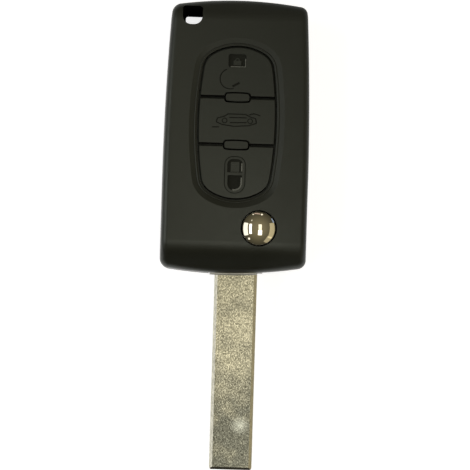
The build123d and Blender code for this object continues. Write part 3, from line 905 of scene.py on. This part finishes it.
@dataclass
class ReleaseButton:
    """Polished dome with its stem and two lugs, turned on the pivot's axis."""

    paint: Paintwork
    rim_radius: float = 0.1 * MM
    shoulder_height: float = 12.9 * MM
    stem_radius: float = 2.6 * MM
    lug_low: float = 9.1 * MM
    lug_high: float = 12.5 * MM
    lug_width: float = 2.4 * MM
    steps_round: int = 160
    steps_dome: int = 36
    steps_rim: int = 5
    crease: float = 35

    def profile(self) -> list[Point]:
        """Line from the dome's top over its rim, its side and the stem to the stem's foot.

        Returns:
            Radius and height of each point.
        """
        low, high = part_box("release_button")
        radius = (high.y - low.y) / 2
        rise = high.z - FACE
        sphere = (radius**2 + rise**2) / (2 * rise)
        centre_z = high.z - sphere
        end_angle = math.asin((radius - self.rim_radius) / sphere)
        points = []
        for step in range(self.steps_dome + 1):
            angle = end_angle * step / self.steps_dome
            points.append((sphere * math.sin(angle), centre_z + sphere * math.cos(angle)))
        rim_x, rim_z = points[-1]
        for step in range(1, self.steps_rim + 1):
            angle = end_angle + (math.pi / 2 - end_angle) * step / self.steps_rim
            points.append((
                rim_x + self.rim_radius * (math.sin(angle) - math.sin(end_angle)),
                rim_z + self.rim_radius * (math.cos(angle) - math.cos(end_angle)),
            ))
        points += [(points[-1][0], self.shoulder_height), (self.stem_radius, self.shoulder_height)]
        return points + [(self.stem_radius, low.z), (0.0, low.z)]

    def turned(self) -> bpy.types.Object:
        """Turns the profile.

        Returns:
            The closed dome with its stem.
        """
        centre = middle("release_button")
        shape = bmesh.new()
        rings = []
        for radius, height in self.profile():
            spots = circle(centre, radius, self.steps_round) if radius else [centre]
            rings.append([shape.verts.new((*spot, height)) for spot in spots])
        for upper, lower in zip(rings, rings[1:]):
            for step in range(self.steps_round):
                after = (step + 1) % self.steps_round
                if len(upper) == 1:
                    corners = (upper[0], lower[step], lower[after])
                elif len(lower) == 1:
                    corners = (upper[step], lower[0], upper[after])
                else:
                    corners = (upper[step], lower[step], lower[after], upper[after])
                shape.faces.new(corners)
        bmesh.ops.recalc_face_normals(shape, faces=shape.faces)
        return piece_from("release_dome", shape)

    def build(self) -> list[bpy.types.Object]:
        """Joins the lugs on and paints all that lies below the dome's rim black, as painted shade
        in the gap round the dome.

        Returns:
            The button.
        """
        button = self.turned()
        low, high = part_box("release_button")
        centre, radius = middle("release_button"), (high.x - low.x) / 2
        half_angle = math.degrees(math.asin(self.lug_width / 2 / radius))
        lugs = arc(centre, radius, -half_angle, half_angle)
        lugs += arc(centre, radius, 180 - half_angle, 180 + half_angle)
        combine(button, prism("lugs", lugs, self.lug_low, self.lug_high), "UNION")
        smooth_shading(button.data, self.crease)
        self.paint.dress(button, Finish.CHROME)
        # Painted shade: the stem and all below the rim get the near-black finish, so that the gap
        # round the dome reads black.
        painted_shade = self.paint.add(button, Finish.PAINTED_SHADE)
        for polygon in button.data.polygons:
            if polygon.center.z < FACE + self.rim_radius / 2:
                polygon.material_index = painted_shade
        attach(button, "release")
        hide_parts("release_button")
        return [button]


@dataclass
class HingeSpring:
    """Coil spring under the release button."""

    paint: Paintwork
    travel: float = 1.8 * MM
    crease: float = 40

    def build(self) -> list[bpy.types.Object]:
        """Copies the spring and fixes it to the flip arm.

        Returns:
            The spring.
        """
        spring = merged_copy("hinge_spring", "release_spring")
        self.paint.dress(spring, Finish.SPRING)
        smooth_shading(spring.data, self.crease)
        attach(spring, "flip_arm")
        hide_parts("release_spring")
        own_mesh(spring)
        return [spring]


@dataclass
class Blade:
    """Blade blank with ground bevels along both edges in a lighter finish, partly a painted
    highlight, and its tip painted dark as shade.
    """

    paint: Paintwork
    steep: float = 0.97
    shallow: float = 0.3
    crease: float = 20

    def build(self) -> list[bpy.types.Object]:
        """Copies the blade and gives its bevels and its tip their own finishes.

        Returns:
            The blade.
        """
        blade = merged_copy("blade_blank", "blade")
        self.paint.dress(blade, Finish.BLADE)
        ground = self.paint.add(blade, Finish.GROUND_AND_HIGHLIGHT)
        tip_shade = self.paint.add(blade, Finish.TIP_SHADE)
        for polygon in blade.data.polygons:
            normal = polygon.normal
            # Tip faces get the painted-shade metal; the side bevels get the lighter ground finish,
            # partly a painted highlight.
            if normal.y < -self.shallow:
                polygon.material_index = tip_shade
            elif self.shallow < abs(normal.z) < self.steep and abs(normal.x) > abs(normal.y):
                polygon.material_index = ground
        smooth_shading(blade.data, self.crease)
        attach(blade, "flip_arm")
        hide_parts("blade")
        return [blade]


@dataclass(frozen=True)
class Line:
    """Moulded line or painted-shade strip: how far it lies outside its path, its size and its depth
    under the face.
    """

    offset: float
    width: float
    height: float
    drop: float


@dataclass
class PadTrim:
    """Lines of the front cover: a moulded bead round the pad, and near-black strips of painted
    shade round the bars, in the ring hole and round the button.
    """

    tool: StrokeTool
    paint: Paintwork
    recess: float = 0.5 * MM
    bar_proud: float = 0.25 * MM
    bead: Line = Line(*mm(0.36, 0.3, 0.3, 0.26))
    # Near-black painted-shade strips: a ring in the gap round each bar's pip, a sleeve in the ring
    # hole and a ring in the gap round the dome.
    pip_shade_ring: Line = Line(*mm(0.175, 0.2, 1.35, 0.7))
    hole: RoundedBox = RoundedBox(mm(-10.335, 26.36), mm(4.4, 4.1), mm(1.9, 0.6))
    shade_sleeve: Line = Line(*mm(-0.05, 0.06, 13.6, 0.7))
    gap_shade_ring: Line = Line(*mm(0.0, 0.18, 0.5, 0.7))
    gap_shade_ring_radius: float = 3.86 * MM
    gap_shade_ring_steps: int = 60

    def build(self) -> list[bpy.types.Object]:
        """Makes the pad's bead, and the painted-shade rings round the bars, in the ring hole and
        round the button.

        Returns:
            The lines.
        """
        cap_top = FACE - self.recess
        lines = [self.line("pad_bead", rims("front_cover", cap_top)[0], self.bead, Finish.CASE)]
        for index, bar in enumerate(rims("front_cover", cap_top + self.bar_proud)):
            lines.append(self.line(f"bar_pip_shade_ring_{index + 1}", bar, self.pip_shade_ring, Finish.PAINTED_SHADE))
        lines.append(self.line("ring_hole_shade_sleeve", self.hole.outline(), self.shade_sleeve, Finish.PAINTED_SHADE))
        ring = circle(middle("release_button"), self.gap_shade_ring_radius, self.gap_shade_ring_steps)
        lines.append(self.line("button_gap_shade_ring", ring, self.gap_shade_ring, Finish.PAINTED_SHADE))
        return lines

    def line(self, name: str, path: list[Point], line: Line, finish: Finish) -> bpy.types.Object:
        """Makes one closed line and fixes it to the case.

        Args:
            name: Name of the piece.
            path: The edge that it follows, anticlockwise.
            line: Its place and size beside the edge.
            finish: Its finish.

        Returns:
            The line.
        """
        piece = self.tool.stroke(
            name, grown(path, line.offset), FACE - line.drop - line.height / 2, line.width,
            line.height, self.paint.materials[finish],
        )
        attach(piece, "case")
        return piece


@dataclass
class SignedCap:
    """Button cap with its moulded sign, cut from a copy of its CAD node."""

    tool: StrokeTool
    paint: Paintwork
    node: str = ""
    body: str = ""
    recess_depth: float = 0.4 * MM
    stroke_depth: float = 0.22 * MM
    stroke_corner: float = 0.15 * MM
    ridge_drop: float = 0.04 * MM
    sunk: float = 0.05 * MM
    upright: float = 0.3
    parting_lean: float = 0.4
    flat: float = 0.95
    crease: float = 30
    cap: bpy.types.Object = field(init=False)
    top: float = field(init=False)

    def build(self) -> list[bpy.types.Object]:
        """Cuts the sign and hands the cap over.

        Returns:
            The cap.
        """
        self.cap = merged_copy(self.node.replace("button", "cap"), self.node)
        self.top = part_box(self.node)[1].z
        self.paint.dress(self.cap, Finish.CAP)
        self.darken_sides()
        self.cut()
        smooth_shading(self.cap.data, self.crease)
        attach(self.cap, self.body)
        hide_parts(self.node)
        return [self.cap]

    def darken_sides(self) -> None:
        """Paints the upright sides and the lower edge, which faces away from the light, near-black
        as painted shade in the gaps.
        """
        # Painted shade: the cap's walls and its lower edge get the near-black finish.
        painted_shade = self.paint.add(self.cap, Finish.PAINTED_SHADE)
        for polygon in self.cap.data.polygons:
            normal = polygon.normal
            shaded_lower_edge = normal.y < -self.parting_lean and normal.z < self.flat
            if abs(normal.z) < self.upright or shaded_lower_edge:
                polygon.material_index = painted_shade

    def cut(self) -> None:
        """Cuts the sign into the cap."""
        raise NotImplementedError

    def sink(self, outline: list[Point], depth: float) -> None:
        """Cuts a recess with a flat floor.

        Args:
            outline: The recess in plan.
            depth: Its depth.
        """
        recess = prism("recess", outline, self.top - depth, self.top + depth)
        self.paint.dress(recess, Finish.SIGN)
        combine(self.cap, recess, "DIFFERENCE")

    def raise_up(self, outline: list[Point], depth: float, height: float) -> None:
        """Adds a form of a height to the floor of a recess, whose depth is under the cap's face."""
        floor = self.top - depth
        combine(self.cap, prism("raised", outline, floor - self.sunk, floor + height), "UNION")

    def engrave(
        self, path: list[Point], width: float, closed: bool = False, corner: float | None = None
    ) -> None:
        """Cuts one stroke.

        Args:
            path: The stroke's middle in plan.
            width: Its width.
            closed: Whether the last point joins the first.
            corner: Radius of its corners, where it isn't the usual one.
        """
        groove = self.tool.stroke(
            "groove", path, self.top, width, 2 * self.stroke_depth,
            self.paint.materials[Finish.SIGN], closed,
            self.stroke_corner if corner is None else corner,
        )
        combine(self.cap, groove, "DIFFERENCE")

    def ridge(self, path: list[Point], width: float, depth: float) -> None:
        """Raises a ridge on the floor of a recess, in a lighter finish that is a painted highlight.

        Args:
            path: The ridge's middle in plan.
            width: Its width.
            depth: Depth of the floor under the cap's face.
        """
        low = self.top - depth - self.sunk
        high = self.top - self.ridge_drop
        ridge = self.tool.stroke(
            "ridge", path, (low + high) / 2, width, high - low,
            self.paint.materials[Finish.PAINTED_HIGHLIGHT], closed=False,
        )
        combine(self.cap, ridge, "UNION")


@dataclass
class LockCap(SignedCap):
    """Upper cap: a shut padlock in a recess over an open ring with a pointer."""

    node: str = "lock_button"
    body: str = "lock_cap"
    recess: RoundedBox = RoundedBox(mm(-0.26, 16.6), mm(3.9, 2.9), mm(0.5, 0.5))
    lock: RoundedBox = RoundedBox(mm(-0.26, 16.15), mm(1.7, 1.05), mm(0.15, 0.15), 3)
    lock_height: float = 0.2 * MM
    shackle_place: Point = mm(-0.26, 16.7)
    shackle_radii: Point = mm(0.28, 0.55)
    shackle_height: float = 0.18 * MM
    # Path of the ridge whose lighter finish is a painted highlight.
    edge: tuple[Point, ...] = (mm(-1.71, 15.31), mm(1.53, 15.31), mm(1.53, 17.0))
    highlight_ridge_width: float = 0.2 * MM
    ring_place: Point = mm(-1.75, 12.6)
    ring_radius: float = 2.2 * MM
    ring_ends: Point = (108, 292)
    ring_steps: int = 28
    ring_width: float = 0.22 * MM
    pointer: tuple[Point, ...] = (mm(-1.2, 10.95), mm(0.35, 11.8))
    pointer_width: float = 0.5 * MM

    def cut(self) -> None:
        """Cuts the padlock's recess, its ridge with a painted highlight, the ring and the pointer.
        """
        depth = self.recess_depth
        self.sink(self.recess.outline(), depth)
        self.raise_up(self.lock.outline(), depth, self.lock_height)
        inner, outer = self.shackle_radii
        shackle = arc(self.shackle_place, inner, 180, 0) + arc(self.shackle_place, outer, 0, 180)
        self.raise_up(shackle, depth, self.shackle_height)
        self.ridge(list(self.edge), self.highlight_ridge_width, depth)
        ring = arc(self.ring_place, self.ring_radius, *self.ring_ends, self.ring_steps)
        self.engrave(ring, self.ring_width, corner=0.0)
        self.engrave(list(self.pointer), self.pointer_width)


@dataclass
class BootCap(SignedCap):
    """Middle cap: a car from the side with its boot open, in millimetres from its centre."""

    node: str = "boot_button"
    body: str = "boot_cap"
    place: Point = mm(0.2, 3.6)
    outline: tuple[Point, ...] = (
        (-4.7, -0.5), (-4.5, 0.35), (-3.0, 0.75), (-2.2, 1.3), (1.6, 1.3), (2.9, 0.7),
        (3.9, 0.45), (4.1, -0.6), (2.4, -1.15), (-0.8, -1.4), (-3.4, -1.05),
    )
    window: tuple[Point, ...] = ((-1.9, 0.55), (1.9, 0.55))
    lid: tuple[Point, ...] = ((2.5, 1.25), (3.5, 1.5), (4.9, 1.1))
    sill: tuple[Point, ...] = ((-1.7, -0.6), (1.9, -0.5))
    ground: tuple[Point, ...] = ((-5.6, -1.65), (-4.1, -1.6))
    line_width: float = 0.24 * MM
    wheels: tuple[Point, ...] = ((-2.9, -0.15), (2.7, -0.15))
    wheel_radius: float = 0.52 * MM
    wheel_steps: int = 20
    wheel_width: float = 0.2 * MM

    def cut(self) -> None:
        """Cuts the outline, the window line, the open lid, the sill, the ground and the wheels."""
        self.engrave(self.placed(self.outline), self.line_width, True)
        for line in (self.window, self.lid, self.sill, self.ground):
            self.engrave(self.placed(line), self.line_width)
        for centre in self.placed(self.wheels):
            wheel = circle(centre, self.wheel_radius, self.wheel_steps)
            self.engrave(wheel, self.wheel_width, True, 0.0)

    def placed(self, points: tuple[Point, ...]) -> list[Point]:
        """Points in millimetres from the sign's centre, as places in metres."""
        return [(self.place[0] + x * MM, self.place[1] + y * MM) for x, y in points]


@dataclass
class UnlockCap(SignedCap):
    """Lower cap: an open padlock in a capsule, with a bowl under it."""

    node: str = "unlock_button"
    body: str = "unlock_cap"
    capsule: RoundedBox = RoundedBox(mm(-0.11, -8.45), mm(4.5, 8.0), mm(2.2, 1.7), 12)
    capsule_width: float = 0.18 * MM
    window: RoundedBox = RoundedBox(mm(-0.11, -6.425), mm(3.4, 2.95), mm(0.15, 1.2))
    window_depth: float = 0.28 * MM
    lock: RoundedBox = RoundedBox(mm(-0.11, -6.675), mm(1.9, 2.15), mm(0.1, 0.1), 2)
    lock_height: float = 0.14 * MM
    hollow: RoundedBox = RoundedBox(mm(-0.11, -6.975), mm(1.05, 1.65), mm(0.1, 0.1), 2)
    hollow_height: float = 0.4 * MM
    bowl: RoundedBox = RoundedBox(mm(-0.11, -10.2), mm(3.2, 3.4), mm(1.55, 0.2), 12)
    # The lip and the side are ridges whose lighter finish is a painted highlight.
    lip_place: Point = mm(-0.11, -10.3)
    lip_radius: float = 1.44 * MM
    lip_ends: Point = (-110, 0)
    lip_steps: int = 14
    lip_top: float = -9.0 * MM
    side: tuple[Point, ...] = (mm(1.39, -7.7), mm(1.39, -5.85))
    ridge_width: float = 0.3 * MM

    def cut(self) -> None:
        """Cuts the capsule's line, the window with its padlock, the bowl, and the ridges with a
        painted highlight.
        """
        self.engrave(self.capsule.outline(), self.capsule_width, True, 0.0)
        self.sink(self.window.outline(), self.window_depth)
        self.raise_up(self.lock.outline(), self.window_depth, self.lock_height)
        floor = self.top - self.window_depth
        hollow = prism("hollow", self.hollow.outline(), floor, floor + self.hollow_height)
        combine(self.cap, hollow, "DIFFERENCE")
        self.sink(self.bowl.outline(), self.recess_depth)
        lip = arc(self.lip_place, self.lip_radius, *self.lip_ends, self.lip_steps)
        lip.append((lip[-1][0], self.lip_top))
        self.ridge(lip, self.ridge_width, self.recess_depth)
        self.ridge(list(self.side), self.ridge_width, self.window_depth)


# Floor, lamps, surrounding light and camera


@dataclass
class Floor:
    """Plain pale floor that stays white in the picture and keeps the key's shadow."""

    half_size: float = 3.0
    gap: float = 0.01 * MM
    colour: Triple = (0.5, 0.5, 0.53)
    roughness: float = 0.8
    specular: float = 0.1
    fill_strength: float = 0.84

    def build(self) -> list[bpy.types.Object]:
        """Makes the floor under the key, which isn't seen from below.

        Returns:
            The floor.
        """
        size, level = self.half_size, CAD_BOUNDS[0].z - self.gap
        corners = ((-size, -size), (size, -size), (size, size), (-size, size))
        mesh = bpy.data.meshes.new("floor")
        mesh.from_pydata([(*corner, level) for corner in corners], [], [(0, 1, 2, 3)])
        floor = new_piece("floor", mesh)
        material, wiring, shader = new_material("pale_floor")
        path = wiring.add("ShaderNodeLightPath").outputs
        seen = wiring.math("MAXIMUM", path["Is Camera Ray"], path["Is Glossy Ray"])
        seen = wiring.math("MAXIMUM", seen, path["Is Transmission Ray"])
        behind = wiring.add("ShaderNodeNewGeometry").outputs["Backfacing"]
        wiring.feed(shader, {
            "Base Color": self.colour,
            "Roughness": self.roughness,
            "Specular IOR Level": self.specular,
            "Emission Color": (1.0, 1.0, 1.0),
            "Emission Strength": wiring.math("MULTIPLY", seen, self.fill_strength),
            "Alpha": wiring.math("SUBTRACT", 1.0, behind),
        })
        floor.data.materials.append(material)
        return [floor]


@dataclass(frozen=True)
class Lamp:
    """Soft rectangular lamp that points at the key.

    Lean is its angle from the zenith, and side the compass direction in plan that it leans to,
    both in degrees, with 0 to the right and 90 towards the key ring.
    """

    name: str
    lean: float
    side: float
    distance: float
    width: float
    length: float
    radiance: float
    colour: Triple

    def build(self, target: Vector) -> bpy.types.Object:
        """Makes the lamp.

        Args:
            target: The point that it faces.

        Returns:
            The lamp.
        """
        lean, side = math.radians(self.lean), math.radians(self.side)
        away = Vector((
            math.sin(lean) * math.cos(side),
            math.sin(lean) * math.sin(side),
            math.cos(lean),
        ))
        across = Vector((0, 1, 0)).cross(away).normalized()
        along = away.cross(across)
        data = bpy.data.lights.new(self.name, "AREA")
        data.shape = "RECTANGLE"
        data.size = self.width
        data.size_y = self.length
        data.energy = self.radiance * math.pi * self.width * self.length
        data.color = self.colour
        lamp = bpy.data.objects.new(self.name, data)
        turn = Matrix((across, along, away)).transposed().to_4x4()
        lamp.matrix_world = Matrix.Translation(target + away * self.distance) @ turn
        lamp.visible_camera = False
        bpy.context.scene.collection.objects.link(lamp)
        return lamp


@dataclass
class Studio:
    """Lamps, surrounding light and camera."""

    lamps: tuple[Lamp, ...] = (
        Lamp("strip_low", 19.5, 292, 0.6, 0.18, 0.25, 3.0, (1.0, 0.97, 0.88)),
        Lamp("strip_high", 9.7, 43, 0.6, 0.15, 0.25, 1.6, (1.0, 0.97, 0.88)),
        Lamp("window_inner", 37, 184, 0.8, 0.16, 0.62, 3.2, (1.0, 1.0, 0.98)),
        Lamp("window_outer", 61, 184, 0.8, 0.32, 0.72, 1.7, (1.0, 1.0, 0.98)),
        Lamp("wall", 64, 352, 0.8, 0.36, 0.9, 0.6, (1.0, 0.88, 0.58)),
        Lamp("wall_low", 69, 312, 0.8, 0.34, 0.4, 0.5, (1.0, 0.88, 0.6)),
        Lamp("shelf", 70, 96, 0.8, 0.3, 0.07, 0.7, (1.0, 0.74, 0.68)),
        Lamp("lamp_top", 67, 78, 0.8, 0.1, 0.09, 1.8, (1.0, 0.95, 0.85)),
        Lamp("lamp_top_left", 71, 112, 0.8, 0.08, 0.06, 1.5, (1.0, 0.95, 0.85)),
        Lamp("lamp_left", 48, 131, 0.8, 0.05, 0.07, 1.6, (1.0, 0.95, 0.85)),
        Lamp("lamp_low", 65, 229, 0.8, 0.11, 0.11, 1.8, (1.0, 0.98, 0.92)),
        Lamp("sky_gap", 78, 31, 0.8, 0.1, 0.22, 0.9, (0.45, 0.62, 1.0)),
    )
    zenith_colour: Triple = (0.32, 0.28, 0.18)
    horizon_colour: Triple = (0.07, 0.065, 0.045)
    horizon_power: float = 2.0
    camera_place: Triple = mm(0.325, -21.62, 287.5)
    camera_turn: float = 1.7
    camera_view: float = 21.39
    sensor_width: float = 36.0
    clip_start: float = 0.01

    def build(self) -> list[bpy.types.Object]:
        """Sets up the light and the camera.

        Returns:
            The lamps and the camera.
        """
        low, high = CAD_BOUNDS
        target = Vector(((low.x + high.x) / 2, (low.y + high.y) / 2, high.z))
        lamps = [lamp.build(target) for lamp in self.lamps]
        self.build_surround()
        data = bpy.data.cameras.new("camera")
        data.sensor_width = self.sensor_width
        data.sensor_fit = "HORIZONTAL"
        data.angle = math.radians(self.camera_view)
        data.clip_start = self.clip_start
        camera = bpy.data.objects.new("camera", data)
        camera.location = self.camera_place
        camera.rotation_euler = (0, 0, math.radians(self.camera_turn))
        bpy.context.scene.collection.objects.link(camera)
        bpy.context.scene.camera = camera
        bpy.context.scene.view_settings.view_transform = "Standard"
        return [*lamps, camera]

    def build_surround(self) -> None:
        """Makes a dim warm room, darker towards the horizon."""
        world = bpy.data.worlds.new("room")
        bpy.context.scene.world = world
        world.use_nodes = True
        world.node_tree.nodes.clear()
        wiring = Wiring(world.node_tree)
        place = wiring.add("ShaderNodeTexCoord").outputs["Generated"]
        height = wiring.add("ShaderNodeSeparateXYZ", {"Vector": place}).outputs["Z"]
        steeper = wiring.math("POWER", height, self.horizon_power)
        colour = wiring.mix(steeper, self.horizon_colour, self.zenith_colour)
        background = wiring.add("ShaderNodeBackground", {"Color": colour})
        wiring.add("ShaderNodeOutputWorld", {"Surface": background.outputs["Background"]})


# The whole key


NODE_FINISHES: dict[str, Finish] = {
    "front_cover": Finish.CASE,
    "back_cover": Finish.CASE,
    "lock_button": Finish.CAP,
    "boot_button": Finish.CAP,
    "unlock_button": Finish.CAP,
    "button_mat": Finish.RUBBER,
    "release_button": Finish.CHROME,
    "release_spring": Finish.SPRING,
    "flip_head": Finish.HEAD,
    "blade": Finish.BLADE,
    "blade_pin": Finish.PIN,
    "battery_contact_positive": Finish.CONTACT,
    "battery_contact_negative": Finish.CONTACT,
}


def main() -> None:
    """Dresses the CAD nodes, adds the pieces of this script and sets up the studio."""
    logging.basicConfig(level=logging.INFO, format="%(name)s: %(message)s")
    paint = Paintwork()
    for node, finish in NODE_FINISHES.items():
        paint.dress(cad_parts[node], finish)
        log.info("%s gets %s", node, finish.value.name)
    tool = StrokeTool()
    assemblies = (
        ReleaseButton(paint), HingeSpring(paint), Blade(paint), PadTrim(tool, paint),
        LockCap(tool, paint), BootCap(tool, paint), UnlockCap(tool, paint), Floor(), Studio(),
    )
    for assembly in assemblies:
        for piece in assembly.build():
            log.info("%s gives %s", type(assembly).__name__, piece.name)


if __name__ == "__main__":
    main()
